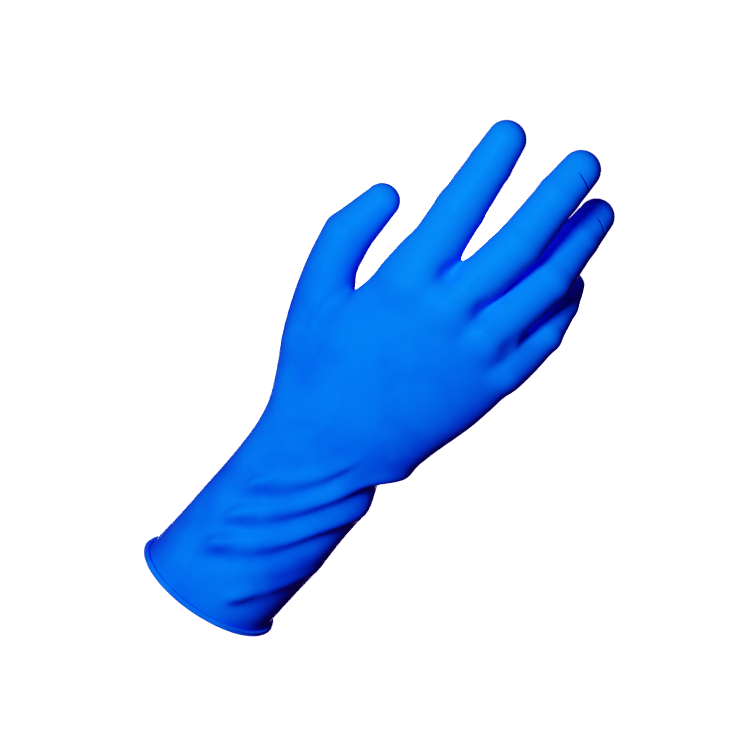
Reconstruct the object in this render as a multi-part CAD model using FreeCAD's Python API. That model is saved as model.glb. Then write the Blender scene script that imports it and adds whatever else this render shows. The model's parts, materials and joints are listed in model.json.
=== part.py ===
import FreeCAD, Part
import math
import os
from FreeCAD import Vector

# Household rubber glove for the right hand, 300 mm size, filled out to the shape of a worn glove.
#
# The glove is one dipped film. It is split here into the zones that move against each other:
# stiffly held zones (cuff, hand, stall segments) and the bending zones between them (sleeves).
# Frame: origin at the centre of the cuff's mouth, +Z from the mouth towards the fingertips,
# -Y out of the back of the hand, +Y out of the palm, -X towards the thumb. Millimetres, degrees.

# ---------------------------------------------------------------- driving dimensions

FILM = 0.5                    # thickness of the rubber

# Cuff: a short round hem, then the sleeve over the forearm
HEM_RADIUS = 34.0             # outside of the film at the mouth
HEM_HEIGHT = 6.0
BEAD_RADIUS = 1.5             # rolled edge round the mouth
BEAD_SEAT = 0.4               # how deep the roll beds against the hem
CUFF_TOP = 47.0               # where the side-bending zone starts
SIDE_ZONE = 18.0              # length of the zone that lets the wrist bend sideways
WRIST_BAND = 8.0              # narrow ring between the two wrist zones
FLEX_ZONE = 30.0              # length of the zone that lets the wrist bend forwards

# Cross-sections of the forearm and hand above the hem:
# height, centre x, centre y, half width, half depth, squareness, slope, arch of the knuckles
SECTIONS = [
    (22.0, 0.1, 0.0, 33.5, 31.0, 2.0, 0.00, 0.0),
    (40.0, 0.9, 0.0, 33.6, 27.5, 2.0, 0.00, 0.0),
    (63.0, 1.0, 0.0, 33.2, 24.0, 2.1, 0.00, 0.0),
    (85.0, 0.6, 0.0, 34.0, 22.5, 2.1, 0.00, 0.0),
    (107.0, -1.2, 1.0, 38.0, 22.0, 2.1, 0.00, 1.0),
    (128.0, -1.2, 2.5, 42.0, 21.0, 2.2, 0.00, 3.0),
    (150.0, 2.2, 2.0, 43.5, 18.5, 2.2, 0.02, 4.0),
    (172.0, 7.0, 1.5, 43.8, 16.0, 2.3, 0.06, 6.0),
    (190.0, 9.0, 0.5, 43.2, 13.5, 2.3, 0.12, 8.0),
    (206.0, 9.5, 0.0, 41.5, 11.0, 2.3, 0.16, 9.0),
]
SECTION_POINTS = 36

# Fold across the palm, along which all four finger roots bend together
KNUCKLE_FOLD = Vector(8.0, 2.0, 184.0)
KNUCKLE_ALONG = Vector(-61.0, -4.0, 6.7)
KNUCKLE_HALF = 9.0            # half length of the bending zone
WEB_HEIGHT = 198.0            # the film that closes the hand between the stalls, at x = 0
WEB_SLOPE = -0.11             # it falls towards the little finger
WEB_X = 8.0

# Stalls. Each runs from the knuckle through two joints to the centre of the domed end.
#   knuckle  centre of the knuckle
#   length   of the three segments
#   bend     each segment's lean towards the palm
#   splay    each segment's lean towards the little finger side
#   radius   outside radius at the knuckle, two joints and end
#   root     how far from the knuckle the stall leaves the hand
#   half     half length of the bending zone at the two joints
#   turn     how far the curl is turned towards the thumb
STALLS = {
    "index": dict(
        knuckle=Vector(-18.8, 2.0, 188.7), length=(43.0, 26.0, 15.5), bend=(9.0, 12.0, 16.0),
        splay=(-7.0, -6.0, -7.0), radius=(12.4, 11.7, 10.7, 9.8), root=20.0, half=(9.0, 5.5), turn=-4.0,
    ),
    "middle": dict(
        knuckle=Vector(3.0, -1.0, 192.6), length=(45.5, 29.5, 17.5), bend=(20.0, 25.0, 31.0),
        splay=(7.0, -2.0, 1.0), radius=(11.8, 11.6, 10.5, 9.8), root=20.0, half=(9.0, 5.5), turn=2.0,
    ),
    "ring": dict(
        knuckle=Vector(25.2, 1.8, 191.5), length=(42.5, 26.0, 16.0), bend=(35.0, 45.0, 49.0),
        splay=(8.0, -3.0, -1.0), radius=(10.8, 10.4, 9.8, 9.0), root=20.0, half=(9.0, 5.5), turn=10.0,
    ),
    "little": dict(
        knuckle=Vector(43.5, 6.0, 182.0), length=(29.0, 20.0, 14.0), bend=(46.0, 54.0, 68.0),
        splay=(6.0, -8.0, -13.0), radius=(10.0, 8.8, 8.1, 7.4), root=14.0, half=(7.5, 5.0), turn=4.0,
    ),
}
KNUCKLE_SWELL = 0.3           # how far a joint stands proud of the stall

# Thumb: the same values, from the base joint beside the wrist to the centre of the domed end
THUMB_BASE = Vector(-26.0, 8.0, 106.0)
THUMB_KNUCKLE = Vector(-46.0, 14.0, 147.2)
THUMB_BASE_RADIUS = 13.0
THUMB_MOUND = Vector(-37.0, 9.0, 128.0)
THUMB_MOUND_RADIUS = 16.3
THUMB_LENGTH = (34.5, 22.5)
THUMB_BEND = (11.0, 18.0)
THUMB_SPLAY = (-20.4, 6.0)
THUMB_RADIUS = (15.5, 11.7, 9.3)
THUMB_TIP_HALF = 7.5          # half length of the bending zone at the end joint
THUMB_ROOT = 14.5             # from the thumb's knuckle to the middle of its root zone
THUMB_ROOT_HALF = 5.0
THUMB_ROOT_LEAN = 24.0        # the root zone leans down on the outer side, below the web
THUMB_ROOT_AXIS = Vector(-0.45, 0.86, -0.20)
THUMB_TIP_AXIS = Vector(-0.50, 0.85, -0.10)

# ---------------------------------------------------------------- places worked out from them

UP = Vector(0, 0, 1)
SIDE_FOLD = Vector(1.0, 0.0, CUFF_TOP + SIDE_ZONE / 2)
BAND_BOTTOM = CUFF_TOP + SIDE_ZONE
BAND_TOP = BAND_BOTTOM + WRIST_BAND
FLEX_FOLD = Vector(0.5, 0.0, BAND_TOP + FLEX_ZONE / 2)
HAND_BOTTOM = BAND_TOP + FLEX_ZONE
REACH = 400.0                 # larger than the glove, for the blocks that cut it into zones


def unit(v):
    """v at length 1."""
    return v * (1.0 / v.Length)


def lean(bend, splay):
    """Direction that leans from +Z towards the palm by bend and towards +X by splay."""
    b, s = math.radians(bend), math.radians(splay)
    return Vector(math.sin(s), math.cos(s) * math.sin(b), math.cos(s) * math.cos(b))


def square_to(axis, along):
    """axis turned as little as it takes to stand square to along."""
    return unit(axis - along * axis.dot(along))


def chain(start, lengths, directions):
    """Joint centres of a row of segments."""
    points = [start]
    for length, direction in zip(lengths, directions):
        points.append(points[-1] + direction * length)
    return points


def stall_line(stall):
    """Joint centres and segment directions of a finger stall."""
    directions = [lean(b, s) for b, s in zip(stall["bend"], stall["splay"])]
    return chain(stall["knuckle"], stall["length"], directions), directions


def curl_axis(stall, along):
    """Axis about which a stall segment curls towards the palm."""
    turn = math.radians(stall["turn"])
    return square_to(Vector(-math.cos(turn), -math.sin(turn), 0), along)


def thumb_line():
    """Joint centres of the thumb from its knuckle, with the segment directions."""
    directions = [lean(b, s) for b, s in zip(THUMB_BEND, THUMB_SPLAY)]
    return chain(THUMB_KNUCKLE, THUMB_LENGTH, directions), directions


def thumb_root():
    """Middle of the thumb's root zone and the direction square to its cut faces."""
    points, directions = thumb_line()
    middle = points[0] + directions[0] * THUMB_ROOT
    turn = FreeCAD.Rotation(Vector(0, 1, 0), -THUMB_ROOT_LEAN)
    return middle, turn.multVec(directions[0])


def knuckle_fold():
    """Hinge line across the palm and the direction square to its cut faces."""
    along = unit(KNUCKLE_ALONG)
    return along, square_to(UP, along)


# ---------------------------------------------------------------- building blocks


def beyond(shape, point, normal):
    """The part of a shape on the side of a plane that its normal points to."""
    block = Part.makeBox(2 * REACH, 2 * REACH, REACH, Vector(-REACH, -REACH, 0))
    block.Placement = FreeCAD.Placement(point, FreeCAD.Rotation(UP, normal))
    return shape.common(block)


def between(shape, low, high, normal):
    """The part of a shape between two parallel planes."""
    return beyond(beyond(shape, low, normal), high, normal * -1)


def tapered(start, end, start_radius, end_radius):
    """Round bar between two centres."""
    run = end - start
    if abs(start_radius - end_radius) < 1e-6:
        return Part.makeCylinder(start_radius, run.Length, start, unit(run))
    return Part.makeCone(start_radius, end_radius, run.Length, start, unit(run))


def domed(start, end, start_radius, end_radius):
    """Round bar that ends in a dome round its end centre."""
    length = (end - start).Length
    corner = Vector(end_radius, 0, length)
    crown = Vector(0, 0, length + end_radius)
    shoulder = end_radius * math.sqrt(0.5)
    outline = Part.Wire([
        Part.LineSegment(Vector(0, 0, 0), Vector(start_radius, 0, 0)).toShape(),
        Part.LineSegment(Vector(start_radius, 0, 0), corner).toShape(),
        Part.Arc(corner, Vector(shoulder, 0, length + shoulder), crown).toShape(),
        Part.LineSegment(crown, Vector(0, 0, 0)).toShape(),
    ])
    bar = Part.Face(outline).revolve(Vector(0, 0, 0), UP, 360)
    bar.Placement = FreeCAD.Placement(start, FreeCAD.Rotation(UP, unit(end - start)))
    return bar


def finger_bar(points, radii, skin):
    """Solid finger through its joints: skin is taken off all over, for the inside of the film."""
    r = [radius - skin for radius in radii]
    bars = [tapered(points[i], points[i + 1], r[i], r[i + 1]) for i in range(len(points) - 2)]
    bars.append(domed(points[-2], points[-1], r[-2], r[-1]))
    joints = [Part.makeSphere(r[i] + KNUCKLE_SWELL, points[i]) for i in range(1, len(points) - 1)]
    return bars[0].multiFuse(bars[1:] + joints)


def outline_at(section, skin):
    """Closed outline of the hand at one height."""
    height, cx, cy, half_width, half_depth, squareness, slope, arch = section
    power = 2.0 / squareness
    points = []
    for i in range(SECTION_POINTS):
        t = 2 * math.pi * i / SECTION_POINTS
        across = math.copysign(abs(math.cos(t)) ** power, math.cos(t))
        through = math.copysign(abs(math.sin(t)) ** power, math.sin(t))
        x = (half_width - skin) * across
        y = (half_depth - skin) * through + slope * x + arch * across * across
        points.append(Vector(cx + x, cy + y, height))
    curve = Part.BSplineCurve()
    curve.interpolate(Points=points, PeriodicFlag=True, Parameters=list(range(SECTION_POINTS + 1)))
    return Part.Wire(curve.toShape())


def round_outline(height, skin):
    """Round outline of the hem at one height, started on +X as the others are."""
    return Part.Wire(Part.makeCircle(HEM_RADIUS - skin, Vector(0, 0, height)))


def hand_bar(skin):
    """Solid forearm and hand up to the webs."""
    outlines = [round_outline(HEM_HEIGHT, skin)]
    outlines += [outline_at(section, skin) for section in SECTIONS]
    body = Part.makeLoft(outlines, True, False)
    slant = unit(Vector(-WEB_SLOPE, 0, 1))
    web = Vector(WEB_X, 0, WEB_HEIGHT) - slant * skin
    return beyond(body, web, slant * -1)


def thumb_root_bar(skin):
    """Solid base of the thumb, sunk into the hand."""
    base_radius = THUMB_BASE_RADIUS - skin
    knuckle_radius = THUMB_RADIUS[0] - skin
    cone = tapered(THUMB_BASE, THUMB_KNUCKLE, base_radius, knuckle_radius)
    mound = Part.makeSphere(THUMB_MOUND_RADIUS - skin, THUMB_MOUND)
    joint = Part.makeSphere(knuckle_radius, THUMB_KNUCKLE)
    return cone.multiFuse([mound, joint])


def save(name, shape):
    """Write one piece and say what it is."""
    solids = shape.Solids
    piece = solids[0] if len(solids) == 1 else Part.makeCompound(solids)
    piece.exportStep(os.path.join("parts", name + ".step"))
    volume = sum(s.Volume for s in solids)
    print("%-22s solids %d  valid %s  volume %8.1f mm3" % (name, len(solids), shape.isValid(), volume))


# ---------------------------------------------------------------- pieces


def make_cuff():
    """Rolled bead, cuff, and the zones of the wrist, from one sleeve of film."""
    hem = Part.makeCylinder(HEM_RADIUS, HEM_HEIGHT)
    hem = hem.cut(Part.makeCylinder(HEM_RADIUS - FILM, HEM_HEIGHT))
    bead = Part.makeTorus(HEM_RADIUS + BEAD_RADIUS - BEAD_SEAT, BEAD_RADIUS, Vector(0, 0, BEAD_RADIUS))
    save("cuff_bead", bead.cut(Part.makeCylinder(HEM_RADIUS, 2 * BEAD_RADIUS)))
    sleeve = hand_bar(0).cut(hand_bar(FILM))
    save("cuff", between(sleeve, Vector(0, 0, 0), Vector(0, 0, CUFF_TOP), UP).fuse(hem))
    zones = [
        ("wrist_side_sleeve", CUFF_TOP, BAND_BOTTOM),
        ("wrist_band", BAND_BOTTOM, BAND_TOP),
    ]
    for name, low, high in zones:
        save(name, between(sleeve, Vector(0, 0, low), Vector(0, 0, high), UP))


def make_hand(palm):
    """Hand with the thumb's base and the four roots, split at the fold across the palm."""
    root_middle, root_normal = thumb_root()
    root_start = root_middle - root_normal * THUMB_ROOT_HALF
    thumb_points, _ = thumb_line()
    thumb = thumb_root_bar(0).fuse(finger_bar(thumb_points, THUMB_RADIUS, 0))
    outside = [palm, beyond(thumb, root_start, root_normal * -1)]
    inside = [hand_bar(FILM), thumb_root_bar(FILM), finger_bar(thumb_points, THUMB_RADIUS, FILM)]
    for stall in STALLS.values():
        points, directions = stall_line(stall)
        end = points[0] + directions[0] * stall["root"]
        root = finger_bar(points, stall["radius"], 0)
        outside.append(beyond(root, end, directions[0] * -1))
        outside.append(Part.makeSphere(stall["radius"][0] + KNUCKLE_SWELL, points[0]))
        inside.append(finger_bar(points, stall["radius"], FILM))
        inside.append(Part.makeSphere(stall["radius"][0] + KNUCKLE_SWELL - FILM, points[0]))
    skin = outside[0].multiFuse(outside[1:]).cut(inside[0].multiFuse(inside[1:]))
    save("wrist_flex_sleeve", between(skin, Vector(0, 0, BAND_TOP), Vector(0, 0, HAND_BOTTOM), UP))
    _, square = knuckle_fold()
    low = KNUCKLE_FOLD - square * KNUCKLE_HALF
    high = KNUCKLE_FOLD + square * KNUCKLE_HALF
    upper = beyond(skin, Vector(0, 0, HAND_BOTTOM), UP)
    save("hand_shell", beyond(upper, low, square * -1))
    save("knuckle_sleeve", between(upper, low, high, square))
    save("knuckle_row", beyond(upper, high, square))


def make_stall(name, stall, palm):
    """One finger stall from where it leaves the hand: three held zones and two bending zones."""
    points, directions = stall_line(stall)
    skin = finger_bar(points, stall["radius"], 0).cut(finger_bar(points, stall["radius"], FILM))
    first, second, third = directions
    half_first, half_second = stall["half"]
    root = points[0] + first * stall["root"]
    cuts = [
        (root, first),
        (points[1] - first * half_first, first),
        (points[1] + second * half_first, second),
        (points[2] - second * half_second, second),
        (points[2] + third * half_second, third),
    ]
    zones = ["proximal", "pip_sleeve", "middle", "dip_sleeve", "tip"]
    for i, zone in enumerate(zones):
        piece = beyond(skin, *cuts[i])
        if i + 1 < len(cuts):
            point, normal = cuts[i + 1]
            piece = beyond(piece, point, normal * -1)
        if i == 0:
            piece = piece.cut(palm)
        save(name + "_" + zone, piece)


def make_thumb(palm):
    """Thumb stall from the web: two bending zones, a held zone and the tip."""
    points, directions = thumb_line()
    skin = finger_bar(points, THUMB_RADIUS, 0).cut(finger_bar(points, THUMB_RADIUS, FILM))
    root_middle, root_normal = thumb_root()
    root_start = root_middle - root_normal * THUMB_ROOT_HALF
    root_end = root_middle + root_normal * THUMB_ROOT_HALF
    joint_start = points[1] - directions[0] * THUMB_TIP_HALF
    joint_end = points[1] + directions[1] * THUMB_TIP_HALF
    save("thumb_root_sleeve", between(skin, root_start, root_end, root_normal).cut(palm))
    held = beyond(skin, root_end, root_normal)
    save("thumb_proximal", beyond(held, joint_start, directions[0] * -1))
    bending = beyond(held, joint_start, directions[0])
    save("thumb_ip_sleeve", beyond(bending, joint_end, directions[1] * -1))
    save("thumb_tip", beyond(skin, joint_end, directions[1]))


def main():
    """Build every piece."""
    os.makedirs("parts", exist_ok=True)
    palm = hand_bar(0)
    make_cuff()
    make_hand(palm)
    for name, stall in STALLS.items():
        make_stall(name, stall, palm)
    make_thumb(palm)


main()
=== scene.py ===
import json
import math

import bmesh
import bpy
import numpy as np
from mathutils import Matrix, Vector


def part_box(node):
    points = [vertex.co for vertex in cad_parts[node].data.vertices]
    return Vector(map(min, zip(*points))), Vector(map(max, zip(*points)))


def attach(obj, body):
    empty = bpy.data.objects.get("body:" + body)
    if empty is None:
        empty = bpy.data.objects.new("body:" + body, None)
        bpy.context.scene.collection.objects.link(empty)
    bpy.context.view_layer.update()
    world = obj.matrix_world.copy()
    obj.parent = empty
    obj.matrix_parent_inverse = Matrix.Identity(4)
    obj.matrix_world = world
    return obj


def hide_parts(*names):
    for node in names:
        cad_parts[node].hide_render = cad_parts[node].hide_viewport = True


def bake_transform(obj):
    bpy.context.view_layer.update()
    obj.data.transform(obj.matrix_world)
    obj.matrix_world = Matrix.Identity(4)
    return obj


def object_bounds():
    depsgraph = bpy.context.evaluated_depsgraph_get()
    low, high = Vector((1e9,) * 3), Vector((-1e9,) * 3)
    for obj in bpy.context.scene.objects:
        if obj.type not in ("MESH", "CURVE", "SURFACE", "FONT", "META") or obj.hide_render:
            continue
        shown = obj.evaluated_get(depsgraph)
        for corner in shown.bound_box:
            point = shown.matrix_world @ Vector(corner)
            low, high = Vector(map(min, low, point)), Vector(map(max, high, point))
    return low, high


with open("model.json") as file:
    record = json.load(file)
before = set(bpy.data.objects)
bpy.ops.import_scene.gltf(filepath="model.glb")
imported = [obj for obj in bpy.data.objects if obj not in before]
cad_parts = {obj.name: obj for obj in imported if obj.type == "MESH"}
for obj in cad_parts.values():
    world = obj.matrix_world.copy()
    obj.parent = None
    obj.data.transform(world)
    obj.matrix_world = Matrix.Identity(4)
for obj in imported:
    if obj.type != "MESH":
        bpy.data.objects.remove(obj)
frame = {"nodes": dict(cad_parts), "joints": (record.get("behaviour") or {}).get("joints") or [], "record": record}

# Household rubber glove: one dipped film with a rolled bead round its mouth, worn by an unseen
# right hand. The film is worked out as one smooth skin in millimetres, from the joints of the
# frame, and is then cut along the frame's own zones at the wrist, the knuckles and each finger
# joint; the zones clear of the joints are tied to the frame's bodies. +Z runs to the fingertips, -Y is the back of
# the hand, -X the thumb side.

bl_info = {
    "name": "Household rubber glove",
    "version": (1, 0, 0),
    "blender": (4, 5, 0),
    "location": "View3D > Sidebar > Glove",
    "description": "Film, rolled bead and stage of a household rubber glove, built round its frame",
    "category": "Object",
}

MM = 0.001
CAD_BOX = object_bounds()
JOINTS = {joint["name"]: joint for joint in frame["joints"]}
BODIES = frame["record"]["behaviour"]["bodies"]
BODY_OF = {node: body for body, nodes in BODIES.items() for node in nodes}
SLEEVE_JOINT = {
    item["node"]: joint
    for joint in frame["joints"]
    for item in joint.get("deforming_nodes", [])
}

# ---------------------------------------------------------------- shape of the hand, in mm

# Cross-sections of forearm and hand:
# height, centre x, centre y, half width, half depth, squareness, slope, arch of the knuckles
SECTIONS = [
    (-12.0, 0.0, 0.0, 34.0, 34.0, 2.0, 0.00, 0.0),
    (5.0, 0.0, 0.0, 34.0, 34.0, 2.0, 0.00, 0.0),
    (22.0, 0.8, 0.0, 33.8, 31.0, 2.0, 0.00, 0.0),
    (40.0, 1.6, 0.0, 34.1, 27.5, 2.0, 0.00, 0.0),
    (63.0, 1.6, 0.0, 33.6, 24.0, 2.1, 0.00, 0.0),
    (85.0, 1.2, 0.0, 34.4, 22.5, 2.1, 0.00, 0.0),
    (97.0, -0.9, 0.4, 34.9, 22.2, 2.1, 0.00, 0.5),
    (107.0, -0.7, 1.0, 38.3, 22.0, 2.1, 0.00, 1.0),
    (128.0, -0.3, 2.5, 42.6, 21.0, 2.2, 0.00, 3.0),
    (150.0, 3.2, 2.0, 44.5, 18.5, 2.2, 0.02, 4.0),
    (172.0, 7.2, 1.8, 43.4, 15.6, 2.3, 0.06, 6.0),
    (190.0, 8.0, 2.0, 43.0, 12.2, 2.3, 0.12, 8.0),
    (206.0, 8.3, 3.5, 41.2, 7.0, 2.3, 0.16, 9.0),
]
WEB_PLACE = np.array([8.0, 0.0, 200.5])
WEB_FALL = 0.11               # the webs sit lower towards the little finger
WEB_ROUNDING = 8.0            # where the sides of the hand turn over into the webs
WEB_FILLETS = (5.2, 3.0, 3.0)           # between neighbouring fingers
ARCH_CAP = 1.3                # the knuckles' arch goes on a little past the sides of the hand
WEB_HOLLOWS = [               # x, height, radius and depth of the hollow below each web
    (-8.0, 206.0, 5.0, 2.9),
    (15.8, 203.0, 5.0, 2.4),
    (38.3, 197.0, 4.6, 1.8),
]
HOLLOW_SHAPE = 0.8            # width over length
HOLLOW_FADE = (-4.0, 6.0)     # y over which the hollows end

FINGER_LENGTH = {"index": 43.0, "middle": 45.5, "ring": 42.5, "little": 29.0}   # to the first joint
FINGER_RADII = {              # outside, at the knuckle, two joints and end
    "index": (13.7, 12.2, 10.6, 9.6),
    "middle": (12.0, 11.7, 10.5, 9.7),
    "ring": (11.4, 11.3, 10.1, 8.9),
    "little": (8.8, 8.6, 7.9, 7.3),
}
KNUCKLE_SINK = {"index": 0.0, "middle": 0.0, "ring": 0.4, "little": 2.0}   # towards the palm
FINGER_WAIST = (0.1, 0.1, -0.1)         # how far each segment is drawn in between its joints
FINGER_FLATNESS = 0.95        # depth over width
FINGER_TRIM = {"index": 1.1, "middle": 0.9, "ring": 0.2, "little": 0.0}   # short of the frame's end
FINGER_SHIFT = {"index": 0.4, "middle": 0.7, "ring": -0.8, "little": -0.3}   # of the ends, sideways
SHIFT_SHARES = (0.0, 0.5, 1.0, 1.0)     # of it at the knuckle, two joints and end
THUMB_LENGTH = 34.5
THUMB_RADII = (14.6, 12.2, 12.1, 8.8)   # at the knuckle, half way to the end joint, there, at the end
THUMB_SHIFT = (0.0, -1.7, 0.6, 0.4)     # of these places, towards the index finger
THUMB_STEPS = 4                         # bars between two of these places
THUMB_JOIN = 0.8                        # rounding between two bars
THUMB_OVER = 0.4                        # past the frame's end
THUMB_BASE = np.array([-26.0, 8.0, 106.0])
THUMB_BASE_RADIUS = 12.4
THUMB_MOUND = np.array([-37.0, 9.0, 128.0])
THUMB_MOUND_RADIUS = 14.6
THUMB_ROOT_LEAN = 24.0        # degrees that the thumb's root zone leans down on its outer side

# Crosswise folds pushed up between wrist and cuff. Each valley climbs from the thumb side to the
# little finger side: height on the middle of the back, climb, start and end angle round the arm,
# depth on the back, extra depth at its far end, width
FOLDS = [
    (72.5, 0.85, -60.0, 50.0, 1.15, 0.0, 4.8),
    (51.7, 0.78, -53.0, 118.0, 1.35, 1.6, 4.8),
    (31.5, 0.63, -48.0, 98.0, 1.35, 0.0, 4.8),
    (4.5, 0.30, -2.0, 100.0, 0.9, 0.0, 7.5),
]
FOLDS_MEANT_FOR = 2.0         # the fold depth setting for which these depths hold
FOLD_SPREAD = 0.5             # share by which the folds are wider on the little finger side
FOLD_WIDENS = (0.0, 60.0)     # degrees over which they widen
FOLD_DEEPENS = (45.0, 88.0)   # degrees over which the extra depth sets in
FOLD_STEEPEN = 0.66           # the folds climb faster towards the little finger side
FOLD_STOPS = 22.0             # degrees over which a fold dies out at its far end
FOLDS_BEGIN = (4.0, 16.0)     # heights over which all folds set in
FOLDS_END = (108.0, 120.0)    # and over which they die out
VALLEY_STARTS = 34.0          # degrees from a fold's start over which its valley sets in
RIDGE_STARTS = (8.0, 24.0)    # the same for its ridge
RIDGE_WIDTH = 5.0
RIDGE_STEP = 8.0              # from the valley up to the ridge
RIDGE_SHARE = 0.8             # the ridge's height over the valley's depth
HEAD_ANGLE = 26.0             # degrees from a fold's start to the rounded head of its ridge
HEAD_WIDTH = 11.0             # degrees
HEAD_RISE = 2.1               # share by which the head stands higher than the ridge
ARM_MIDDLE = 1.0              # x
ARM_RADIUS = 33.0
PAST_SIDE = 150.0             # degrees past the side in which a fold climbs as far again
TENDONS = [                   # x and height of both ends, on the back
    (-26.3, 188.0, -26.0, 203.0),
    (2.3, 210.0, 0.8, 230.0),
    (22.5, 197.0, 22.0, 211.0),
    (-60.0, 173.0, -53.0, 158.0),
    (-48.0, 152.0, -43.0, 140.0),
]
TENDON_RISE = 0.35
TENDON_WIDTH = 1.9
TENDON_FADE = (2.0, 10.0)     # y over which the tendons end
CREASE_BACK = {"middle": 3.0, "ring": 4.6}   # nail edges: short of the centre of the rounded end
CREASE_HALF = 0.45            # half width
CREASE_DEPTH = 0.35
CREASE_LEAN = 0.25            # the crease runs back a little towards the little finger side
CREASE_STARTS = (-1.0, 1.5)   # from the finger's middle towards that side
CREASE_ENDS = (0.0, 3.0)      # above the finger's flank
CREASE_MARGIN = 1.6           # beside the crease, where the mesh is finer
CREASE_PAST = 0.5             # past its ends, the same
CREASE_CUTS = 3               # times that its edges are split there
NAIL_REACH = 16.0             # from the centre of the rounded end
MOUTH_DROP = 1.0              # the mouth hangs this far below the frame's
MOUTH_TILT = 0.082            # and runs lower on the thumb side
MOUTH_FADE = 40.0             # height up to which the film hangs with it


def unit(vector):
    """The vector at length 1."""
    return vector / np.linalg.norm(vector)


def joint_place(name):
    """Where a joint of the frame sits, in mm."""
    return np.array(JOINTS[name]["pos_m"], float) / MM


def joint_axis(name):
    """Direction of a joint's axis."""
    return unit(np.array(JOINTS[name]["axis"], float))


def node_points(node):
    """Corners of a frame node's mesh, in mm."""
    mesh = frame["nodes"][node].data
    points = np.empty(len(mesh.vertices) * 3)
    mesh.vertices.foreach_get("co", points)
    return points.reshape(-1, 3) / MM


def furthest(node, place):
    """The corner of a node that is furthest from a place."""
    points = node_points(node)
    return points[np.argmax(np.linalg.norm(points - place, axis=1))]


def reach(node, direction, pick):
    """Lowest or highest distance of a node along a direction."""
    return pick(node_points(node) @ direction)


def finger_line(name):
    """Joint centres of a finger from its knuckle to the centre of its rounded end."""
    second, third = joint_place(name + "_pip"), joint_place(name + "_dip")
    towards = unit(node_points(name + "_proximal").mean(axis=0) - second)
    end = furthest(name + "_tip", third)
    tip = end - unit(end - third) * (FINGER_RADII[name][3] + FINGER_TRIM[name])
    shift = np.outer(SHIFT_SHARES, [FINGER_SHIFT[name], 0.0, 0.0])
    shift[0, 1] = KNUCKLE_SINK[name]
    return np.array([second + towards * FINGER_LENGTH[name], second, third, tip]) + shift


def thumb_line():
    """Joint centres of the thumb from its knuckle to the centre of its rounded end."""
    second = joint_place("thumb_ip_flex")
    towards = unit(joint_place("thumb_root_flex") - second)
    end = furthest("thumb_tip", second)
    tip = end - unit(end - second) * (THUMB_RADII[3] - THUMB_OVER)
    return np.array([second + towards * THUMB_LENGTH, second, tip])


FINGERS = {name: finger_line(name) for name in FINGER_LENGTH}
THUMB = thumb_line()
UP = np.array([0.0, 0.0, 1.0])


def backs(name):
    """Direction out of the back of each segment of a finger."""
    line = FINGERS[name]
    axis = joint_axis(name + "_pip")
    return [unit(np.cross(unit(line[i + 1] - line[i]), axis)) for i in range(3)]


FINGER_BACKS = {name: backs(name) for name in FINGERS}

# ---------------------------------------------------------------- the skin as a distance field

SLOPE_STEP = 0.05             # mm
LEAST_SLOPE = 0.05            # squared; keeps a point from leaping away where the field is flat


def smooth_union(a, b, fillet):
    """Joins two distance fields and rounds the inside corner between them."""
    near = np.maximum(fillet - np.abs(a - b), 0.0) / fillet
    return np.minimum(a, b) - near * near * fillet / 4


def smooth_common(a, b, fillet):
    """What two distance fields share, with a rounded outside edge."""
    return -smooth_union(-a, -b, fillet)


def ease(x, low, high):
    """0 below low, 1 above high, and smooth between them."""
    t = np.clip((x - low) / (high - low), 0.0, 1.0)
    return t * t * (3 - 2 * t)


def bell(x, width):
    """Smooth bump of height 1."""
    return np.exp(-((x / width) ** 2))


def bar(points, start, end, start_radius, end_radius, waist=0.0, back=None, flatness=1.0):
    """Distance to a round-ended bar that tapers, is drawn in by waist and may be flattened."""
    run = end - start
    t = np.clip((points - start) @ run / run.dot(run), 0.0, 1.0)
    off = points - start - t[:, None] * run
    if back is not None:
        off = off + np.outer(off @ back * (1 / flatness - 1), back)
    radius = start_radius + (end_radius - start_radius) * t - waist * 4 * t * (1 - t)
    return np.linalg.norm(off, axis=1) - radius


def curve_at(rows, slopes, i, t, gap=1.0):
    """Values a share t of the way from row i to the next, on a smooth curve through all rows."""
    rise = t * t * (3 - 2 * t)
    leave, arrive = t * (1 - t) ** 2, t * t * (t - 1)
    across = rows[i] * (1 - rise) + rows[i + 1] * rise
    return across + gap * (leave * slopes[i] + arrive * slopes[i + 1])


def section_at(height):
    """Values of SECTIONS at each height, smooth from row to row."""
    rows = np.array(SECTIONS)
    levels, values = rows[:, 0], rows[:, 1:]
    slopes = np.gradient(values, levels, axis=0)
    i = np.clip(np.searchsorted(levels, height) - 1, 0, len(levels) - 2)
    gap = (levels[i + 1] - levels[i])[:, None]
    t = np.clip((height - levels[i])[:, None] / gap, 0.0, 1.0)
    return curve_at(values, slopes, i, t, gap).T


def palm_field(points):
    """Distance to the forearm and hand up to the webs."""
    cx, cy, half_width, half_depth, power, slope, arch = section_at(points[:, 2])
    u = points[:, 0] - cx
    v = points[:, 1] - cy - slope * u - arch * np.minimum((u / half_width) ** 2, ARCH_CAP)
    u, v = np.abs(u) / half_width, np.abs(v) / half_depth
    size = np.maximum((u**power + v**power) ** (1 / power), 1e-6)
    steep_u = (u / size) ** (power - 1) / half_width
    steep_v = (v / size) ** (power - 1) / half_depth
    sides = (size - 1) / np.maximum(np.hypot(steep_u, steep_v), 1e-6)
    slant = unit(np.array([WEB_FALL, 0.0, 1.0]))
    return smooth_common(sides, (points - WEB_PLACE) @ slant, WEB_ROUNDING)


def finger_field(points, name):
    """Distance to one finger."""
    line, radii = FINGERS[name], FINGER_RADII[name]
    field = None
    for i, back in enumerate(FINGER_BACKS[name]):
        part = bar(points, line[i], line[i + 1], radii[i], radii[i + 1], FINGER_WAIST[i], back,
                   FINGER_FLATNESS)
        field = part if field is None else smooth_union(field, part, sizes().joint_fillet / MM)
    return field


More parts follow.
